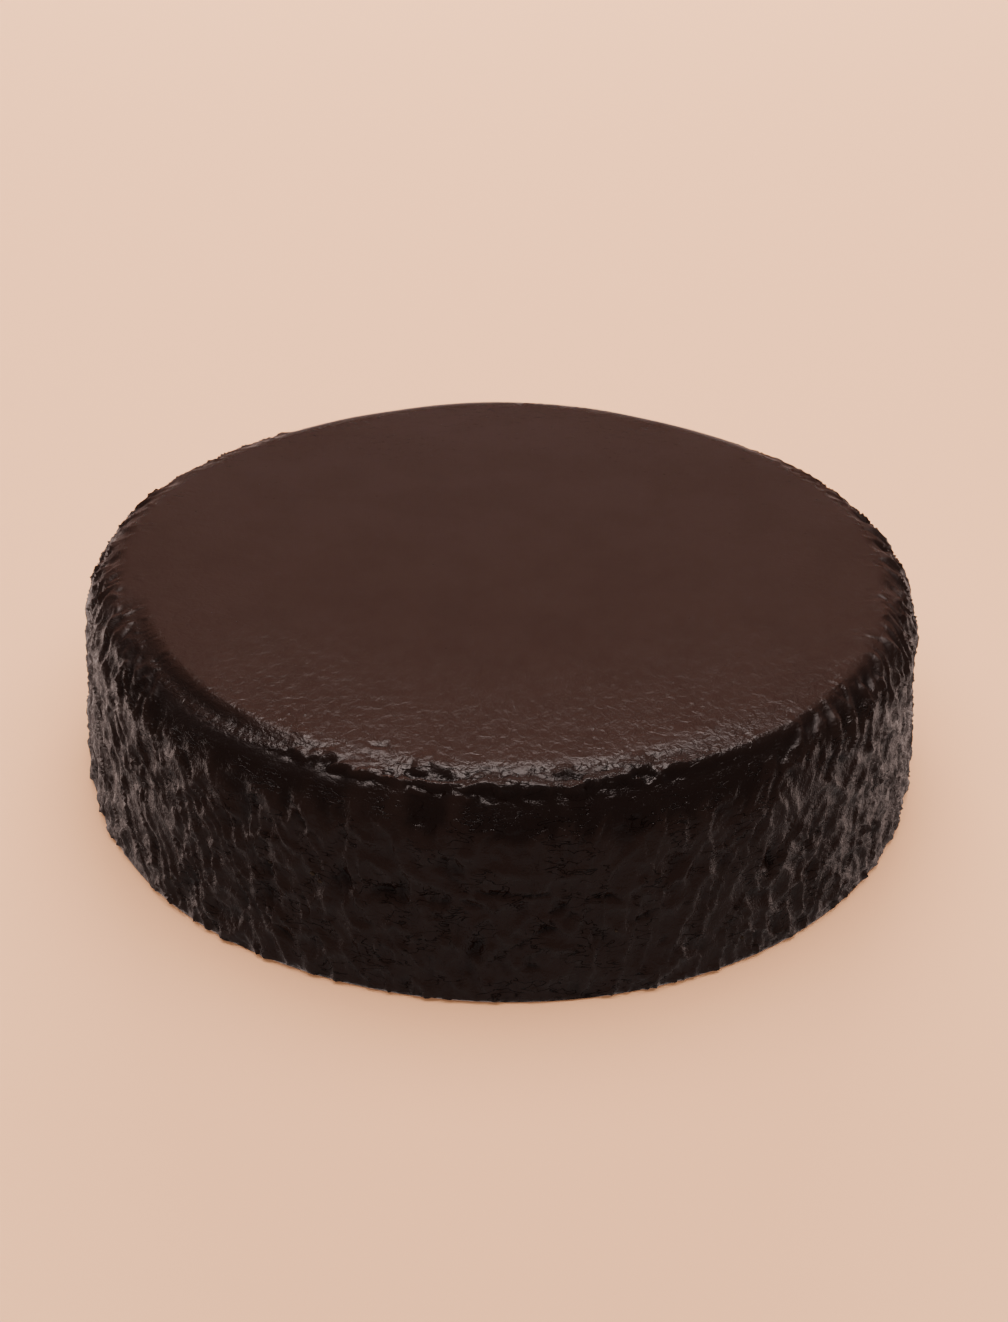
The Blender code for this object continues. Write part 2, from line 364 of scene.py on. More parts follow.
def plan_wave(azimuth):
    """How far the plan stands outside a true circle, at an azimuth in radians."""
    return sum(
        depth * math.cos(count * (azimuth - math.radians(crest)))
        for count, depth, crest in PLAN_WAVES
    )


def down_profile(radius, height):
    """The distance down the profile from where the flat top ends to a point on the turned surface."""
    out = radius - FLAT_RADIUS
    up = height - (HEIGHT - CROWN_DROP - RIM_ROUND)
    if out < 0.0:
        return out
    if up < 0.0:
        return 0.5 * math.pi * RIM_ROUND - up
    return RIM_ROUND * math.atan2(out, up)


def wavy(place, size, warp_depth):
    """How far a warped noise stands from its middle value: 0 along wavy lines, more between them."""
    slow = place / (2.0 * size)
    warp = Vector([noise.noise(slow + offset) for offset in WARP_OFFSETS]) * warp_depth
    return abs(noise.noise((place + warp) / size))


def ridges(place, size, warp_depth):
    """Wavy ridges with shallow bowls between them, from about -1 in a bowl to 1 on a crest."""
    return 1.0 - CRAG_STEEPNESS * wavy(place, size, warp_depth)


def veins(place, size, warp_depth):
    """Thin crests between wide bowls, from 0 in a bowl to 1 on a crest."""
    return (1.0 - min(wavy(place, size, warp_depth) / VEIN_WIDTH, 1.0)) ** 2


def creases(place, size, warp_depth):
    """Rounded folds with sharp creases between them, from 0 in a crease to 1 on a fold."""
    return math.sqrt(min(wavy(place, size, warp_depth) / FOLD_WIDTH, 1.0))


def unrolled(azimuth, down, stretch):
    """A place on the skin if the side and the rim stood straight up, so that marks there come out longer by a factor
    down the side than round it."""
    return Vector((math.cos(azimuth), math.sin(azimuth), 0.0)) * SHOULDER_RADIUS - Vector((0.0, 0.0, down / stretch))


def crag_cover(azimuth, down):
    """0 where the glaze is smooth, 1 where it is as craggy as anywhere."""
    start = sum(
        shift * (1.0 - smooth(fade, end, abs(math.degrees(turn_from(azimuth, middle)))))
        for middle, fade, end, shift in CALM_STRETCHES
    )
    return smooth(start, start + CRAG_RAMP, down)


def front_lip(azimuth, down):
    """The rolled and folded lip on the front of the rim, and the ledge under it."""
    turn = turn_from(azimuth, LIP_MIDDLE)
    away = abs(math.degrees(turn))
    if away > LIP_REACH or down > LEDGE_END or down < -SLOPE_REACH:
        return 0.0
    step = Vector((SHOULDER_RADIUS * turn / LIP_PERIOD, 0.0, 0.0))
    broken = LIP_STRENGTH + LIP_UNEVENNESS * noise.noise(step + LIP_STRENGTH_ROW)
    wander = noise.noise(step + LIP_WANDER_ROW) + 0.5 * noise.noise(3.0 * step + LIP_WANDER_ROW)
    level = down - LIP_WANDER * wander
    climb = LIP_CLIMB * smooth(LIP_CLIMB_START, LIP_CLIMB_END, away)
    rise = LIP_RISE * bell(level + climb - LIP_DOWN, LIP_SPREAD)
    hold = 1.0 - smooth(LEDGE_HOLD, LEDGE_END, down)
    ledge = LEDGE_DEPTH * smooth(LEDGE_DOWN - climb, LEDGE_DOWN + LEDGE_DROP, level) * hold
    slope = SLOPE_DROP * bell(down, SLOPE_REACH)
    on_fold = band(FOLD_TOP, 0.5 * FOLD_TOP, 0.5 * FOLD_FOOT, FOLD_FOOT, down)
    folded = creases(unrolled(azimuth, down, FOLD_STRETCH), FOLD_SIZE, FOLD_WARP)
    folds = FOLD_DEPTH * (folded - FOLD_LEVEL) * on_fold
    return math.sqrt(bell(away, LIP_REACH)) * (broken * (rise - ledge) + folds - slope)


def side_falls(azimuth, down):
    """The steeper falls of the rim beside the lip, as a depth below 0."""
    depth = 0.0
    for middle, reach, start, full, deep, sink in FALLS:
        along = math.sqrt(bell(math.degrees(turn_from(azimuth, middle)), reach))
        fall = deep * smooth(start, full, down) * (1.0 - smooth(FALL_HOLD, FALL_END, down))
        depth -= along * (fall + sink * bell(down, SINK_REACH))
    return depth


def ragged(place):
    """How far round and how far down the outlines of pits and rolls are pushed about at a place."""
    return [RAG * noise.noise(place / RAG_SIZE + offset) for offset in WARP_OFFSETS[:2]]


def pits(azimuth, down, push):
    """The hollows at their own places, as a depth below 0."""
    depth = 0.0
    for middle, level, width, tall, deep in PITS:
        across = (turn_from(azimuth, middle) * SHOULDER_RADIUS + push[0]) / (0.5 * width)
        along = (down + push[1] - level) / (0.5 * tall)
        depth -= deep * bell(math.hypot(across, along), PIT_EDGE)
    return depth


def rolls(azimuth, down, push):
    """The rolls at their own places, as a height above 0."""
    height = 0.0
    for middle, level, width, tall, rise in ROLLS:
        across = (turn_from(azimuth, middle) * SHOULDER_RADIUS + push[0]) / (0.5 * width)
        along = (down + push[1] - level) / (0.5 * tall)
        along *= ROLL_UNDER if along > 0.0 else 1.0
        height += rise * bell(math.hypot(across, along), 1.0)
    return height


def cracks(azimuth, down, place):
    """The narrow cracks at their own places, as a depth below 0."""
    depth = 0.0
    for middle, level, length, slope, deep in CRACKS:
        across = turn_from(azimuth, middle) * SHOULDER_RADIUS
        if abs(across) > length or abs(down - level) > length:
            continue
        angle = math.radians(slope)
        along = across * math.cos(angle) + (down - level) * math.sin(angle)
        off = (down - level) * math.cos(angle) - across * math.sin(angle)
        off += CRACK_WANDER * noise.noise(Vector((along / CRACK_WANDER_SIZE, level / MM, 0.0)))
        width = CRACK_WIDTH * (CRACK_TIP + (1.0 - CRACK_TIP) * bell(along, 0.5 * length))
        depth -= deep * bell(off, width) * (1.0 - smooth(CRACK_FADE * length, 0.5 * length, abs(along)))
    return depth


def coarse_relief(place, azimuth, down):
    """The relief that the solid has too, as a height above the turned surface."""
    cover = crag_cover(azimuth, down)
    lumps = LUMP_HEIGHT * noise.noise(place / LUMP_SIZE) * smooth(0.0, LUMP_FADE, down)
    craggy = CRAG_HEIGHT * ridges(place, CRAG_SIZE, CRAG_WARP) * cover
    chips = CHIP_HEIGHT * noise.noise(place / CHIP_SIZE) * bell(place.z, CHIP_REACH)
    swell = SWELL_HEIGHT * noise.noise(place / SWELL_SIZE) * (1.0 - cover)
    push = ragged(place)
    broken = front_lip(azimuth, down) + side_falls(azimuth, down) + pits(azimuth, down, push)
    return lumps + craggy + chips + swell + broken + rolls(azimuth, down, push)


def fine_relief(place, azimuth, down):
    """Veins, strokes and cracks in the glaze's skin."""
    if down < FINE_START:
        return 0.0
    front = bell(math.degrees(turn_from(azimuth, LIP_MIDDLE)), CALM_REACH)
    strength = 1.0 - CALM_FRONT * front
    cover = crag_cover(azimuth, down)
    skin = unrolled(azimuth + VEIN_SLANT * down * math.cos(azimuth), down, VEIN_STRETCH)
    large = VEIN_DEPTH * (veins(skin, VEIN_SIZE, VEIN_SIZE) - VEIN_LEVEL)
    small = SMALL_VEIN_DEPTH * (veins(skin, SMALL_VEIN_SIZE, SMALL_VEIN_SIZE) - VEIN_LEVEL)
    on_edge = band(*STROKE_BAND, down)
    patch = smooth(*STROKE_PATCHES, noise.noise(place / STROKE_PATCH))
    strokes = veins(unrolled(azimuth, down, STROKE_STRETCH), STROKE_SIZE, STROKE_WARP) - VEIN_LEVEL
    strokes *= STROKE_HEIGHT * on_edge * patch * (1.0 - STROKE_CALM * front)
    return strength * cover * (large + small) + strokes + cracks(azimuth, down, place)


def select_only(piece):
    bpy.ops.object.select_all(action="DESELECT")
    bpy.context.view_layer.objects.active = piece
    piece.select_set(True)


def select_in_edit(piece, kind, test):
    """In edit mode, selects only the edges, faces or vertices that pass a test."""
    modes = {"edges": "EDGE", "faces": "FACE", "verts": "VERT"}
    bpy.ops.mesh.select_mode(type=modes[kind])
    bpy.ops.mesh.select_all(action="DESELECT")
    shape = bmesh.from_edit_mesh(piece.data)
    for element in getattr(shape, kind):
        if test(element):
            element.select_set(True)
    shape.select_flush_mode()
    bmesh.update_edit_mesh(piece.data)


def level_edge(height):
    return lambda edge: all(abs(vertex.co.z - height) < CLOSE for vertex in edge.verts)


def upright_edge(low, high):
    """Passes an edge that runs up the side between two heights."""
    def test(edge):
        heights = sorted(vertex.co.z for vertex in edge.verts)
        return abs(heights[0] - low) < CLOSE and abs(heights[1] - high) < CLOSE
    return test


def level_face(height):
    return lambda face: all(abs(vertex.co.z - height) < CLOSE for vertex in face.verts)


def opaque(colour):
    return tuple(colour) + (1.0,)


def finish_piece(piece, name, material):
    """Names a piece, gives it its finish and its place in the frame, and shades it smooth."""
    piece.name = name
    piece.data.name = name
    piece.data.materials.clear()
    piece.data.materials.append(material)
    piece.data.shade_smooth()
    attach(piece, BODY)


class NodeBook:
    """A material's nodes, added and joined one after another."""

    def __init__(self, name):
        self.material = bpy.data.materials.new(name)
        self.material.use_nodes = True
        self.tree = self.material.node_tree
        self.shader = self.tree.nodes["Principled BSDF"]
        self.place = Vector((-300.0, 300.0))

    def add(self, kind, inputs=None, **settings):
        node = self.tree.nodes.new(kind)
        node.location = self.place
        self.place.x -= 180.0
        for key, value in settings.items():
            setattr(node, key, value)
        for key, value in (inputs or {}).items():
            if isinstance(value, bpy.types.NodeSocket):
                self.tree.links.new(value, node.inputs[key])
            else:
                node.inputs[key].default_value = value
        return node

    def link(self, output, target):
        self.tree.links.new(output, self.shader.inputs[target])

    def coordinates(self):
        return self.add("ShaderNodeTexCoord").outputs["Object"]

    def noise(self, where, scale, detail=2.0, roughness=0.5, distortion=0.0):
        node = self.add("ShaderNodeTexNoise", {
            "Vector": where, "Scale": scale, "Detail": detail, "Roughness": roughness,
            "Distortion": distortion})
        return node.outputs["Fac"]

    def round_cake(self, around, along):
        """Coordinates that run round the cake, with no seam: marks are wide round it and narrow up or outwards."""
        where = self.coordinates()
        flat = self.add("ShaderNodeVectorMath", {0: where, 1: (1.0, 1.0, 0.0)}, operation="MULTIPLY").outputs[0]
        heading = self.add("ShaderNodeVectorMath", {0: flat}, operation="NORMALIZE").outputs[0]
        round_it = self.add("ShaderNodeVectorMath", {0: heading, "Scale": around}, operation="SCALE").outputs[0]
        radius = self.add("ShaderNodeVectorMath", {0: flat}, operation="LENGTH").outputs["Value"]
        height = self.add("ShaderNodeSeparateXYZ", {0: where}).outputs["Z"]
        level = self.math("MULTIPLY", self.math("SUBTRACT", height, radius), along)
        lift = self.add("ShaderNodeCombineXYZ", {2: level}).outputs[0]
        return self.add("ShaderNodeVectorMath", {0: round_it, 1: lift}, operation="ADD").outputs[0]

    def crest(self, value, width):
        """1 where a noise crosses its middle value, falling to 0 at a width from it."""
        away = self.math("ABSOLUTE", self.math("SUBTRACT", value, 0.5), 0.0)
        return self.between(away, 0.0, width, 1.0, 0.0)

    def between(self, value, low, high, at_low=0.0, at_high=1.0):
        node = self.add("ShaderNodeMapRange", {
            "Value": value, "From Min": low, "From Max": high, "To Min": at_low, "To Max": at_high},
            interpolation_type="SMOOTHSTEP")
        return node.outputs["Result"]

    def math(self, operation, first, second):
        return self.add("ShaderNodeMath", {0: first, 1: second}, operation=operation).outputs[0]

    def colour_mix(self, factor, first, second):
        node = self.add("ShaderNodeMix", {"Factor": factor}, data_type="RGBA")
        for socket, value in ((node.inputs[6], first), (node.inputs[7], second)):
            if isinstance(value, bpy.types.NodeSocket):
                self.tree.links.new(value, socket)
            else:
                socket.default_value = value
        return node.outputs[2]

    def attribute(self, name):
        return self.add("ShaderNodeAttribute", attribute_name=name).outputs["Fac"]


def glaze_material(finish):
    """Dark chocolate glaze: satin, duller on the shoulder and slightly darker on the side, with painted shade on the
    front lip, in the hollows and along the hair cracks.
    """
    book = NodeBook("dark chocolate glaze")
    where = book.coordinates()
    on_side = book.attribute("on_side")
    hollow = book.attribute("hollow")
    ripple = book.attribute("ripple")
    on_rim = book.attribute("on_rim")
    on_shoulder = book.attribute("on_shoulder")

    cloudy = book.between(book.noise(where, CLOUD_SCALE, 3.0), *CLOUD_STEP)
    colour = book.colour_mix(cloudy, opaque(finish.glaze_colour), opaque(finish.cloud_colour))
    mottle = book.between(book.noise(where, MOTTLE_SCALE, 3.0, 0.6), *MOTTLE_STEP, 0.0, MOTTLE_SHARE)
    colour = book.colour_mix(mottle, colour, opaque(finish.cloud_colour))
    colour = book.colour_mix(on_side, colour, opaque(finish.side_colour))
    # Painted shade on the front lip: a darker, greyer copy of the glaze colour
    colour = book.colour_mix(on_rim, colour, opaque(finish.lip_shade_colour))
    # Painted shade in the pits and under the ledge: the deeper the relief sinks, the more the colour turns to the
    # painted shade colour
    deep = book.math("MULTIPLY", hollow, HOLLOW_SHADE_SHARE)
    colour = book.colour_mix(deep, colour, opaque(finish.painted_shade_colour))
    # Painted shade along the hair cracks on the side, besides their dip in the bump
    fissure = book.crest(book.noise(book.round_cake(*FISSURE_SCALES), 1.0, 2.0, 0.5, 0.6), FISSURE_LINE)
    patchy = book.between(book.noise(where, FISSURE_PATCH_SCALE, 2.0), *FISSURE_PATCH_STEP)
    fissure = book.math("MULTIPLY", book.math("MULTIPLY", fissure, patchy), on_side)
    colour = book.colour_mix(fissure, colour, opaque(finish.painted_shade_colour))
    book.link(colour, "Base Color")

    uneven = book.between(book.noise(where, SMEAR_SCALE, 3.0), *SMEAR_STEP, -SMEAR_SPREAD, SMEAR_SPREAD)
    rough = book.between(on_side, 0.0, 1.0, finish.top_roughness, finish.side_roughness)
    rough = book.math("MAXIMUM", rough, book.math("MULTIPLY", on_rim, finish.rim_roughness))
    rough = book.math("MAXIMUM", rough, book.math("MULTIPLY", on_shoulder, finish.shoulder_roughness))
    book.link(book.math("ADD", rough, uneven), "Roughness")

    waves = book.noise(book.round_cake(*RIPPLE_SCALES), 1.0, 3.0, 0.62, 0.5)
    wave_height = book.math("MULTIPLY", book.math("MULTIPLY", waves, ripple), finish.ripple_height)
    skin = book.crest(book.noise(book.round_cake(*SKIN_SCALES), 1.0, 1.0, 0.5, 1.2), SKIN_LINE)
    skin_height = book.math("MULTIPLY", book.math("MULTIPLY", skin, on_side), finish.skin_height)
    curls = book.crest(book.noise(where, CURL_SCALE, 0.0, 0.5, 2.5), CURL_LINE)
    sickles = book.crest(book.noise(where, SICKLE_SCALE, 0.0, 0.5, 2.0), SICKLE_LINE)
    curls = book.math("SUBTRACT", curls, sickles)
    curl_height = book.math("MULTIPLY", book.math("MULTIPLY", curls, on_rim), finish.curl_height)
    dip = book.math("MULTIPLY", fissure, -finish.fissure_depth)
    pores = book.noise(where, PORE_SCALE, 2.0, 0.6)
    pore_height = book.math("MULTIPLY", pores, finish.pore_height)
    cells = book.add("ShaderNodeTexVoronoi", {"Vector": where, "Scale": BUBBLE_SCALE}, feature="F1")
    speck = book.between(cells.outputs["Distance"], BUBBLE_REACH, 0.0)
    speck_height = book.math("MULTIPLY", speck, finish.speck_height)
    height = book.math("ADD", book.math("ADD", wave_height, pore_height), speck_height)
    height = book.math("ADD", book.math("ADD", height, skin_height), book.math("ADD", dip, curl_height))
    bump = book.add("ShaderNodeBump", {"Height": height, "Strength": 1.0, "Distance": 1.0})
    book.link(bump.outputs["Normal"], "Normal")

    book.shader.inputs["IOR"].default_value = GLAZE_IOR
    return book.material


def crumb_material(finish):
    """Toasted cake crumb: matt and slightly uneven in colour."""
    book = NodeBook("cake crumb")
    where = book.coordinates()
    speckled = book.between(book.noise(where, CRUMB_SCALE, 3.0), *CRUMB_STEP)
    dark = opaque(CRUMB_DARK_SHARE * value for value in finish.crumb_colour)
    book.link(book.colour_mix(speckled, dark, opaque(finish.crumb_colour)), "Base Color")
    bump = book.add("ShaderNodeBump", {
        "Height": speckled, "Strength": CRUMB_BUMP_STRENGTH, "Distance": CRUMB_BUMP_HEIGHT})
    book.link(bump.outputs["Normal"], "Normal")
    book.shader.inputs["Roughness"].default_value = CRUMB_ROUGHNESS
    return book.material


class SachertorteSizes(bpy.types.PropertyGroup):
    """Sizes of the turned cake before its glaze makes it uneven."""

    shoulder_radius: bpy.props.FloatProperty(
        name="Shoulder radius", description="Radius where the side meets the rounded rim",
        default=SHOULDER_RADIUS, min=0.05, unit="LENGTH")
    foot_radius: bpy.props.FloatProperty(
        name="Foot radius", description="Radius of the cake where it stands",
        default=FOOT_RADIUS, min=0.05, unit="LENGTH")
    height: bpy.props.FloatProperty(
        name="Height", description="Height at the middle of the top, from the solid",
        default=HEIGHT, min=0.02, unit="LENGTH")
    rim_round: bpy.props.FloatProperty(
        name="Rim rounding", description="Radius of the rounded rim",
        default=RIM_ROUND, min=0.002, unit="LENGTH")
    crumb_size: bpy.props.FloatProperty(
        name="Crumb size", description="Radius of one crumb on the side",
        default=CRUMB_SIZE, min=0.0001, unit="LENGTH")


class SachertorteFinish(bpy.types.PropertyGroup):
    """Colours and surface of the glaze and the crumbs."""

    glaze_colour: bpy.props.FloatVectorProperty(
        name="Glaze colour", description="Main colour of the chocolate glaze",
        default=(0.088, 0.0336, 0.0227), min=0.0, max=1.0, subtype="COLOR")
    cloud_colour: bpy.props.FloatVectorProperty(
        name="Cloud colour", description="Slightly paler colour that clouds the glaze",
        default=(0.094, 0.0370, 0.0255), min=0.0, max=1.0, subtype="COLOR")
    side_colour: bpy.props.FloatVectorProperty(
        name="Side colour", description="Slightly duller colour of the glaze on the side",
        default=(0.080, 0.034, 0.024), min=0.0, max=1.0, subtype="COLOR")
    # Painted shade: the darker, greyer glaze colour laid on the front lip
    lip_shade_colour: bpy.props.FloatVectorProperty(
        name="Rim colour", description="Darker and greyer colour of the lip on the front of the rim",
        default=(0.058, 0.0260, 0.0195), min=0.0, max=1.0, subtype="COLOR")
    # Painted shade: the colour laid in the pits, under the lip and along the hair cracks, where shade falls
    painted_shade_colour: bpy.props.FloatVectorProperty(
        name="Hollow colour", description="Colour in the pits and under the lip",
        default=(0.032, 0.0105, 0.0065), min=0.0, max=1.0, subtype="COLOR")
    crumb_colour: bpy.props.FloatVectorProperty(
        name="Crumb colour", description="Colour of the crumbs caught on the side",
        default=(0.22, 0.13, 0.085), min=0.0, max=1.0, subtype="COLOR")
    top_roughness: bpy.props.FloatProperty(
        name="Top roughness", description="Roughness of the satin top",
        default=0.235, min=0.0, max=1.0, subtype="FACTOR")
    side_roughness: bpy.props.FloatProperty(
        name="Side roughness", description="Roughness of the craggy side",
        default=0.25, min=0.0, max=1.0, subtype="FACTOR")
    rim_roughness: bpy.props.FloatProperty(
        name="Rim roughness", description="Roughness of the lip on the front of the rim",
        default=0.25, min=0.0, max=1.0, subtype="FACTOR")
    shoulder_roughness: bpy.props.FloatProperty(
        name="Shoulder roughness", description="Roughness of the rounded shoulder beside the lip",
        default=0.42, min=0.0, max=1.0, subtype="FACTOR")
    ripple_height: bpy.props.FloatProperty(
        name="Ripple height", description="Height of the fine ripples on the top",
        default=0.36 * MM, min=0.0, unit="LENGTH")
    curl_height: bpy.props.FloatProperty(
        name="Curl height", description="Height of the fine curls on the edge of the top",
        default=0.08 * MM, min=0.0, unit="LENGTH")
    skin_height: bpy.props.FloatProperty(
        name="Skin height", description="Height of the finest creases on the side",
        default=0.06 * MM, min=0.0, unit="LENGTH")
    fissure_depth: bpy.props.FloatProperty(
        name="Fissure depth", description="Depth of the hair cracks that run round the side",
        default=0.25 * MM, min=0.0, unit="LENGTH")
    pore_height: bpy.props.FloatProperty(
        name="Pore height", description="Height of the finest grain",
        default=0.03 * MM, min=0.0, unit="LENGTH")
    speck_height: bpy.props.FloatProperty(
        name="Speck height", description="Height of the tiny bubbles",
        default=0.06 * MM, min=0.0, unit="LENGTH")


class SachertorteStage(bpy.types.PropertyGroup):
    """The plain floor and the soft studio light."""

    floor_colour: bpy.props.FloatVectorProperty(
        name="Floor colour", description="Colour of the plain floor",
        default=(0.90, 0.42, 0.20), min=0.0, max=1.0, subtype="COLOR")
    glow_strength: bpy.props.FloatProperty(
        name="Low glow", description="Strength of the glow from low down behind the cake and beside it",
        default=0.60, min=0.0)
    bounce_strength: bpy.props.FloatProperty(
        name="Bounce", description="Strength of the light that comes up from below all round",
        default=0.10, min=0.0)
    glow_colour: bpy.props.FloatVectorProperty(
        name="Glow colour", description="Colour of the low glow",
        default=(1.0, 0.74, 0.66), min=0.0, max=1.0, subtype="COLOR")
    floor_power: bpy.props.FloatProperty(
        name="Floor light", description="Power of the wide light overhead that lights only the floor",
        default=250.0, min=0.0, unit="POWER")
    floor_shade: bpy.props.FloatProperty(
        name="Floor shade", description="Share of the floor light that the cake keeps off the floor",
        default=0.06, min=0.0, max=1.0, subtype="FACTOR")
    air_colour: bpy.props.FloatVectorProperty(
        name="Air colour", description="Colour of the even light from all round",
        default=(1.0, 0.98, 0.96), min=0.0, max=1.0, subtype="COLOR")
    air_strength: bpy.props.FloatProperty(
        name="Air strength", description="Strength of the even light from all round", default=0.10, min=0.0)
    back_power: bpy.props.FloatProperty(
        name="Back light", description="Power of the wide light low behind, which makes no highlights",
        default=122.0, min=0.0, unit="POWER")
    sheen_power: bpy.props.FloatProperty(
        name="Sheen light", description="Power of the long strip that draws the sheen along the front rim",
        default=17.5, min=0.0, unit="POWER")
    sheen_colour: bpy.props.FloatVectorProperty(
        name="Sheen colour", description="Colour of the sheen light",
        default=(1.0, 0.83, 0.785), min=0.0, max=1.0, subtype="COLOR")
    side_colour: bpy.props.FloatVectorProperty(
        name="Side light colour", description="Colour of the lights on the left and the right",
        default=(1.0, 0.76, 0.69), min=0.0, max=1.0, subtype="COLOR")
    fill_power: bpy.props.FloatProperty(
        name="Fill light", description="Power of the weak light high in front", default=3.6, min=0.0, unit="POWER")
    left_power: bpy.props.FloatProperty(
        name="Left light", description="Power of the low light on the left", default=6.2, min=0.0, unit="POWER")
    right_power: bpy.props.FloatProperty(
        name="Right light", description="Power of the low light on the right", default=3.9, min=0.0, unit="POWER")


class SACHERTORTE_OT_glaze(bpy.types.Operator):
    """Model the glazed cake: a beveled cylinder with rows of cuts, then the unevenness of poured glaze"""

    bl_idname = "sachertorte.glaze"
    bl_label = "Glazed cake"

    def execute(self, context):
        sizes = context.scene.sachertorte_sizes
        piece = self.turned(sizes)
        self.pour(piece)
        finish_piece(piece, "poured_glaze", glaze_material(context.scene.sachertorte_finish))
        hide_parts(NODE)
        return {"FINISHED"}

    def turned(self, sizes):
        """The smooth body, with its rounded rim, its leaning side and rings on its top."""
        rim_height = sizes.height - CROWN_DROP
        bpy.ops.object.select_all(action="DESELECT")
        bpy.ops.mesh.primitive_cylinder_add(
            vertices=AROUND, radius=sizes.shoulder_radius, depth=rim_height, location=(0.0, 0.0, 0.5 * rim_height))
        piece = bpy.context.object
        bpy.ops.object.transform_apply(location=True, rotation=True, scale=True)
        bpy.ops.object.mode_set(mode="EDIT")
        select_in_edit(piece, "edges", level_edge(rim_height))
        bpy.ops.mesh.bevel(offset=sizes.rim_round, segments=RIM_ROWS, profile=0.5, affect="EDGES")
        select_in_edit(piece, "edges", level_edge(0.0))
        bpy.ops.mesh.bevel(offset=FOOT_ROUND, segments=FOOT_ROWS, profile=0.5, affect="EDGES")
        select_in_edit(piece, "verts", lambda vertex: vertex.co.z < FOOT_ROUND + CLOSE)
        lean = sizes.foot_radius / sizes.shoulder_radius
        bpy.ops.transform.resize(value=(lean, lean, 1.0), center_override=(0.0, 0.0, 0.0))
        select_in_edit(piece, "edges", upright_edge(FOOT_ROUND, rim_height - sizes.rim_round))
        bpy.ops.mesh.subdivide(number_cuts=SIDE_ROWS - 1)
        select_in_edit(piece, "faces", level_face(rim_height))
        for step in TOP_INSETS:
            bpy.ops.mesh.inset(thickness=step)
        bpy.ops.mesh.poke()
        select_in_edit(piece, "faces", level_face(0.0))
        bpy.ops.mesh.poke()
        bpy.ops.mesh.select_all(action="SELECT")
        bpy.ops.mesh.normals_make_consistent(inside=False)
        bpy.ops.object.mode_set(mode="OBJECT")
        return piece

    def pour(self, piece):
        """Moves the smooth body's points as poured glaze lies, and keeps what its finish needs as attributes."""
        mesh = piece.data
        names = ("on_side", "on_rim", "on_shoulder", "hollow", "ripple")
        for name in names:
            mesh.attributes.new(name, "FLOAT", "POINT")
        marks = {name: mesh.attributes[name].data for name in names}
        normals = [vertex.normal.copy() for vertex in mesh.vertices]
        for vertex, normal in zip(mesh.vertices, normals):
            place = vertex.co.copy()
            radius = math.hypot(place.x, place.y)
            azimuth = math.atan2(place.y, place.x)
            down = down_profile(radius, place.z)
            if place.z > HEIGHT - CROWN_DROP - CLOSE and radius < FLAT_RADIUS:
                place.z += CROWN_DROP * (1.0 - (radius / FLAT_RADIUS) ** 2)
            outward = Vector((math.cos(azimuth), math.sin(azimuth), 0.0))
            move = outward * (plan_wave(azimuth) * min(radius / SHOULDER_RADIUS, 1.0))
            if place.z > 0.5 * FOOT_ROUND:
                coarse = coarse_relief(place, azimuth, down)
                fine = fine_relief(place, azimuth, down)
                move += normal * (coarse + fine)
                # Painted shade mark: how far the relief sinks below the turned surface, in pits, cracks and under
                # the ledge
                marks["hollow"][vertex.index].value = smooth(*HOLLOW_SHADE_MARK, -(coarse + fine))
            vertex.co = place + move
            vertex.co.z = max(vertex.co.z, 0.0)
            marks["on_side"][vertex.index].value = smooth(*SIDE_MARK, down)
            front = bell(math.degrees(turn_from(azimuth, RIM_MIDDLE)), RIM_REACH)
            on_rim = band(*RIM_MARK, down) * front
            marks["on_rim"][vertex.index].value = on_rim
            marks["on_shoulder"][vertex.index].value = band(*SHOULDER_MARK, down) * (1.0 - front)
            forward = smooth(*RIPPLE_FORWARD, -place.y / SHOULDER_RADIUS)
            share = RIPPLE_BEHIND + (1.0 - RIPPLE_BEHIND) * forward
            ripple = smooth(*RIPPLE_MARK, radius) * share * (1.0 - RIPPLE_LOST_ON_RIM * on_rim)
            marks["ripple"][vertex.index].value = ripple
        mesh.update()


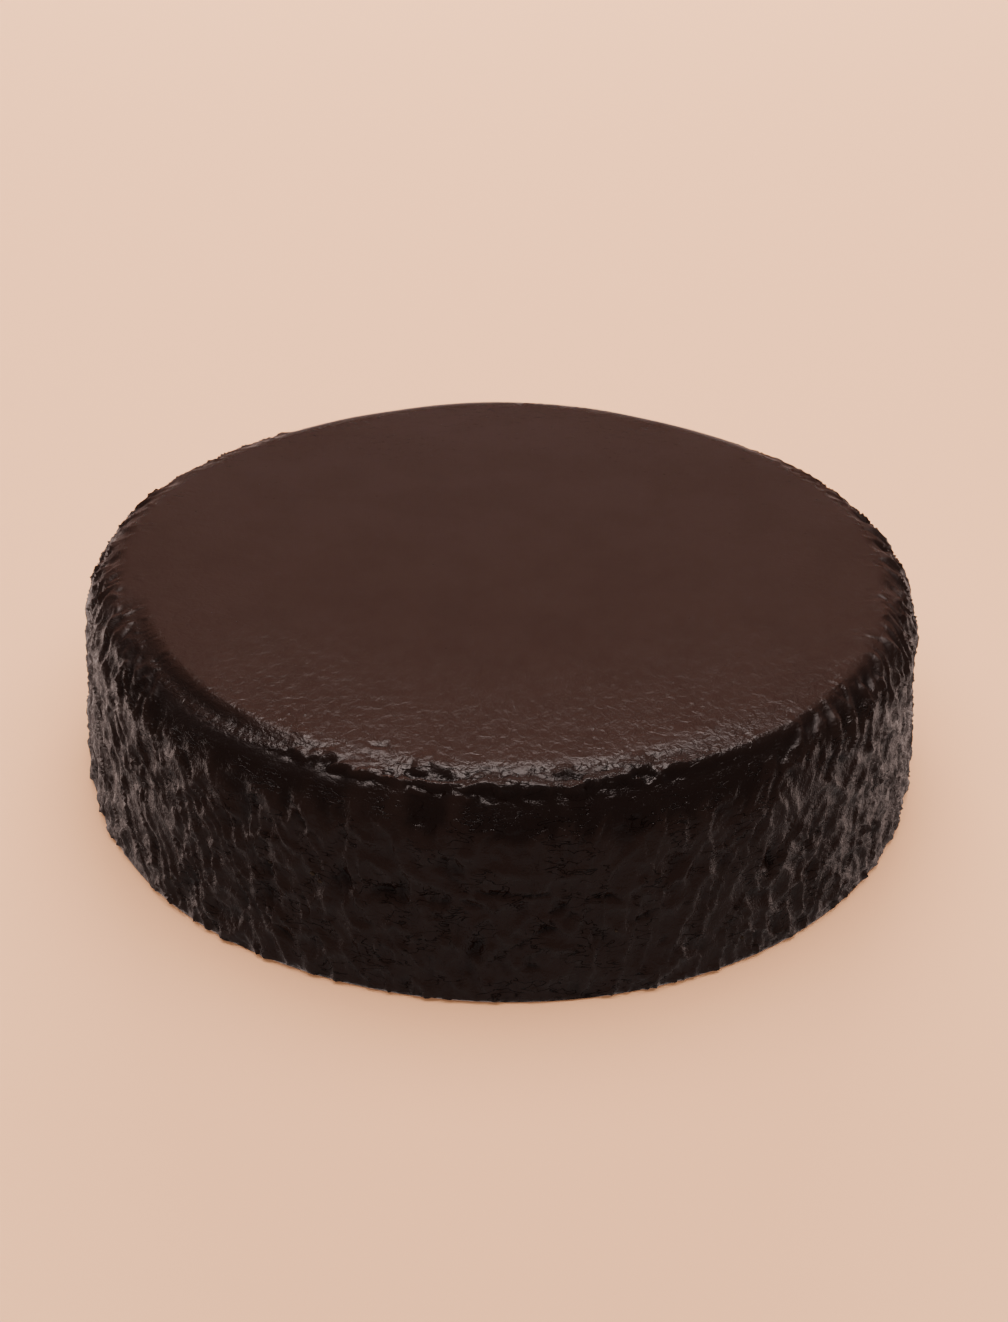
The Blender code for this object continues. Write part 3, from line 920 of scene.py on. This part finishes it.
class SACHERTORTE_OT_crumbs(bpy.types.Operator):
    """Model the few crumbs that are caught on the side"""

    bl_idname = "sachertorte.crumbs"
    bl_label = "Crumbs"

    def execute(self, context):
        size = context.scene.sachertorte_sizes.crumb_size
        crumbs = [self.crumb(size, number, azimuth, down) for number, (azimuth, down) in enumerate(CRUMBS)]
        select_only(crumbs[0])
        for crumb in crumbs[1:]:
            crumb.select_set(True)
        bpy.ops.object.join()
        piece = bpy.context.object
        bpy.ops.object.transform_apply(location=True, rotation=True, scale=True)
        finish_piece(piece, "side_crumbs", crumb_material(context.scene.sachertorte_finish))
        return {"FINISHED"}

    def crumb(self, size, number, azimuth, down):
        """One lumpy crumb, set into the skin of the glaze."""
        turn = math.radians(azimuth)
        height = HEIGHT - CROWN_DROP - RIM_ROUND - (down - 0.5 * math.pi * RIM_ROUND)
        share = 1.0 - height / (HEIGHT - CROWN_DROP - RIM_ROUND)
        radius = SHOULDER_RADIUS + (FOOT_RADIUS - SHOULDER_RADIUS) * share + plan_wave(turn)
        outward = Vector((math.cos(turn), math.sin(turn), 0.0))
        place = outward * radius + Vector((0.0, 0.0, height))
        turned = place - outward * plan_wave(turn)
        place += outward * (coarse_relief(turned, turn, down) + fine_relief(turned, turn, down))
        radius = size * (CRUMB_SMALLEST + CRUMB_SPREAD * ((number * 7) % 5) / 4.0)
        bpy.ops.object.select_all(action="DESELECT")
        bpy.ops.mesh.primitive_ico_sphere_add(subdivisions=3, radius=radius, location=(0.0, 0.0, 0.0))
        crumb = bpy.context.object
        for vertex in crumb.data.vertices:
            lump = noise.noise(vertex.co / (CRUMB_LUMP_SIZE * radius) + Vector((5.0 * number, 0.0, 0.0)))
            vertex.co *= 1.0 + CRUMB_LUMP_HEIGHT * lump
        bpy.ops.object.mode_set(mode="EDIT")
        bpy.ops.mesh.select_all(action="SELECT")
        bpy.ops.transform.resize(value=CRUMB_SHAPE, center_override=(0.0, 0.0, 0.0))
        bpy.ops.object.mode_set(mode="OBJECT")
        crumb.location = place + outward * (CRUMB_STAND * radius)
        crumb.rotation_euler = (0.0, 0.0, turn)
        return crumb


class SACHERTORTE_OT_stage(bpy.types.Operator):
    """Set up the plain floor, the soft lights and the camera"""

    bl_idname = "sachertorte.stage"
    bl_label = "Studio"

    def execute(self, context):
        look = context.scene.sachertorte_stage
        self.floor(look)
        self.air(context.scene, look)
        self.light("back light", BACK_LIGHT, look.back_power, WHITE).visible_glossy = False
        self.light("sheen light", SHEEN_LIGHT, look.sheen_power, look.sheen_colour).visible_diffuse = False
        self.light("fill light", FILL_LIGHT, look.fill_power, WHITE).visible_glossy = False
        self.light("left light", LEFT_LIGHT, look.left_power, look.side_colour)
        self.light("right light", RIGHT_LIGHT, look.right_power, look.side_colour)
        self.floor_light(look)
        self.camera(context.scene)
        return {"FINISHED"}

    def floor(self, look):
        """A plain floor that is seen but throws no light back at the cake."""
        bpy.ops.object.select_all(action="DESELECT")
        bpy.ops.mesh.primitive_plane_add(size=FLOOR_SIZE, location=(0.0, 0.0, -FLOOR_GAP))
        floor = bpy.context.object
        floor.name = "floor"
        bpy.ops.object.transform_apply(location=True, rotation=True, scale=True)
        book = NodeBook("plain floor")
        book.shader.inputs["Base Color"].default_value = opaque(look.floor_colour)
        book.shader.inputs["Roughness"].default_value = FLOOR_ROUGHNESS
        floor.data.materials.append(book.material)
        floor.visible_diffuse = False
        floor.visible_glossy = False
        floor.visible_shadow = False

    def floor_light(self, look):
        """A wide soft light overhead, kept off the cake so that its dark glaze stays dark. The cake blocks only a
        share of it."""
        floor = bpy.data.collections.new("lit by the floor light")
        floor.objects.link(bpy.data.objects["floor"])
        for name, share in (("open floor light", 1.0 - look.floor_shade), ("floor light", look.floor_shade)):
            holder = self.light(name, FLOOR_LIGHT, share * look.floor_power, WHITE)
            holder.light_linking.receiver_collection = floor
            if name == "open floor light":
                holder.light_linking.blocker_collection = floor

    def air(self, scene, look):
        """Even light from all round, with a warm glow low down behind and a little more light from below."""
        world = bpy.data.worlds.new("studio air")
        world.use_nodes = True
        tree = world.node_tree
        background = tree.nodes["Background"]
        towards = tree.nodes.new("ShaderNodeTexCoord")
        parts = tree.nodes.new("ShaderNodeSeparateXYZ")
        tree.links.new(towards.outputs["Generated"], parts.inputs[0])
        behind = self.ramp(tree, parts.outputs["Y"], GLOW_BEHIND, 0.0, 1.0)
        low = self.ramp(tree, parts.outputs["Z"], GLOW_LOW, 1.0, 0.0)
        lifted = look.air_strength + look.bounce_strength
        below = self.ramp(tree, parts.outputs["Z"], BOUNCE_BELOW, lifted, look.air_strength)
        glow = tree.nodes.new("ShaderNodeMath")
        glow.operation = "MULTIPLY"
        tree.links.new(behind, glow.inputs[0])
        tree.links.new(low, glow.inputs[1])
        total = tree.nodes.new("ShaderNodeMath")
        total.operation = "MULTIPLY_ADD"
        tree.links.new(glow.outputs[0], total.inputs[0])
        total.inputs[1].default_value = look.glow_strength
        tree.links.new(below, total.inputs[2])
        tree.links.new(total.outputs[0], background.inputs["Strength"])
        colour = tree.nodes.new("ShaderNodeMix")
        colour.data_type = "RGBA"
        tree.links.new(glow.outputs[0], colour.inputs["Factor"])
        colour.inputs[6].default_value = opaque(look.air_colour)
        colour.inputs[7].default_value = opaque(look.glow_colour)
        tree.links.new(colour.outputs[2], background.inputs["Color"])
        scene.world = world

    def ramp(self, tree, value, stretch, at_low, at_high):
        """A soft step over a stretch of a direction's part."""
        node = tree.nodes.new("ShaderNodeMapRange")
        node.interpolation_type = "SMOOTHSTEP"
        tree.links.new(value, node.inputs["Value"])
        low, high = stretch
        for name, number in (("From Min", low), ("From Max", high), ("To Min", at_low), ("To Max", at_high)):
            node.inputs[name].default_value = number
        return node.outputs["Result"]

    def light(self, name, stand, power, colour):
        """A soft rectangular light that faces the cake's middle."""
        azimuth, elevation, distance, width, height = stand
        target = Vector((0.0, 0.0, 0.5 * HEIGHT))
        turn, rise = math.radians(azimuth), math.radians(elevation)
        outward = Vector((math.cos(turn) * math.cos(rise), math.sin(turn) * math.cos(rise), math.sin(rise)))
        lamp = bpy.data.lights.new(name, "AREA")
        lamp.shape = "RECTANGLE"
        lamp.size, lamp.size_y = width, height
        lamp.energy = power
        lamp.color = colour
        holder = bpy.data.objects.new(name, lamp)
        holder.location = target + outward * distance
        holder.rotation_euler = (-outward).to_track_quat("-Z", "Y").to_euler()
        bpy.context.scene.collection.objects.link(holder)
        return holder

    def camera(self, scene):
        """Stands the camera back from the foot's middle, then slides it right and up in its own plane."""
        back = Vector((0.0, -math.cos(CAMERA_PITCH), math.sin(CAMERA_PITCH)))
        level = Vector((1.0, 0.0, 0.0))
        upright = Vector((0.0, math.sin(CAMERA_PITCH), math.cos(CAMERA_PITCH)))
        right = level * math.cos(CAMERA_ROLL) + upright * math.sin(CAMERA_ROLL)
        up = upright * math.cos(CAMERA_ROLL) - level * math.sin(CAMERA_ROLL)
        lens = bpy.data.cameras.new("camera")
        lens.lens = CAMERA_LENS
        lens.sensor_width = CAMERA_SENSOR
        lens.clip_start = CAMERA_CLIP_START
        holder = bpy.data.objects.new("camera", lens)
        place = back * CAMERA_DISTANCE + right * CAMERA_RIGHT + up * CAMERA_RISE
        holder.matrix_world = Matrix.Translation(place) @ Matrix((right, up, back)).transposed().to_4x4()
        scene.collection.objects.link(holder)
        scene.camera = holder


class SACHERTORTE_PT_panel(bpy.types.Panel):
    """The cake's steps in the sidebar"""

    bl_idname = "SACHERTORTE_PT_panel"
    bl_label = "Sachertorte"
    bl_space_type = "VIEW_3D"
    bl_region_type = "UI"
    bl_category = "Sachertorte"

    def draw(self, context):
        layout = self.layout
        for group in ("sachertorte_sizes", "sachertorte_finish", "sachertorte_stage"):
            settings = getattr(context.scene, group)
            box = layout.box()
            for name in settings.__annotations__:
                box.prop(settings, name)
        for operator in OPERATORS:
            layout.operator(operator.bl_idname)


OPERATORS = (SACHERTORTE_OT_glaze, SACHERTORTE_OT_crumbs, SACHERTORTE_OT_stage)
GROUPS = {
    "sachertorte_sizes": SachertorteSizes,
    "sachertorte_finish": SachertorteFinish,
    "sachertorte_stage": SachertorteStage,
}


def register():
    for group in GROUPS.values():
        bpy.utils.register_class(group)
    for name, group in GROUPS.items():
        setattr(bpy.types.Scene, name, bpy.props.PointerProperty(type=group))
    for operator in OPERATORS:
        bpy.utils.register_class(operator)
    bpy.utils.register_class(SACHERTORTE_PT_panel)


def unregister():
    bpy.utils.unregister_class(SACHERTORTE_PT_panel)
    for operator in reversed(OPERATORS):
        bpy.utils.unregister_class(operator)
    for name in GROUPS:
        delattr(bpy.types.Scene, name)
    for group in reversed(GROUPS.values()):
        bpy.utils.unregister_class(group)


def main():
    register()
    bpy.ops.sachertorte.glaze()
    bpy.ops.sachertorte.crumbs()
    bpy.ops.sachertorte.stage()


if __name__ == "__main__":
    main()
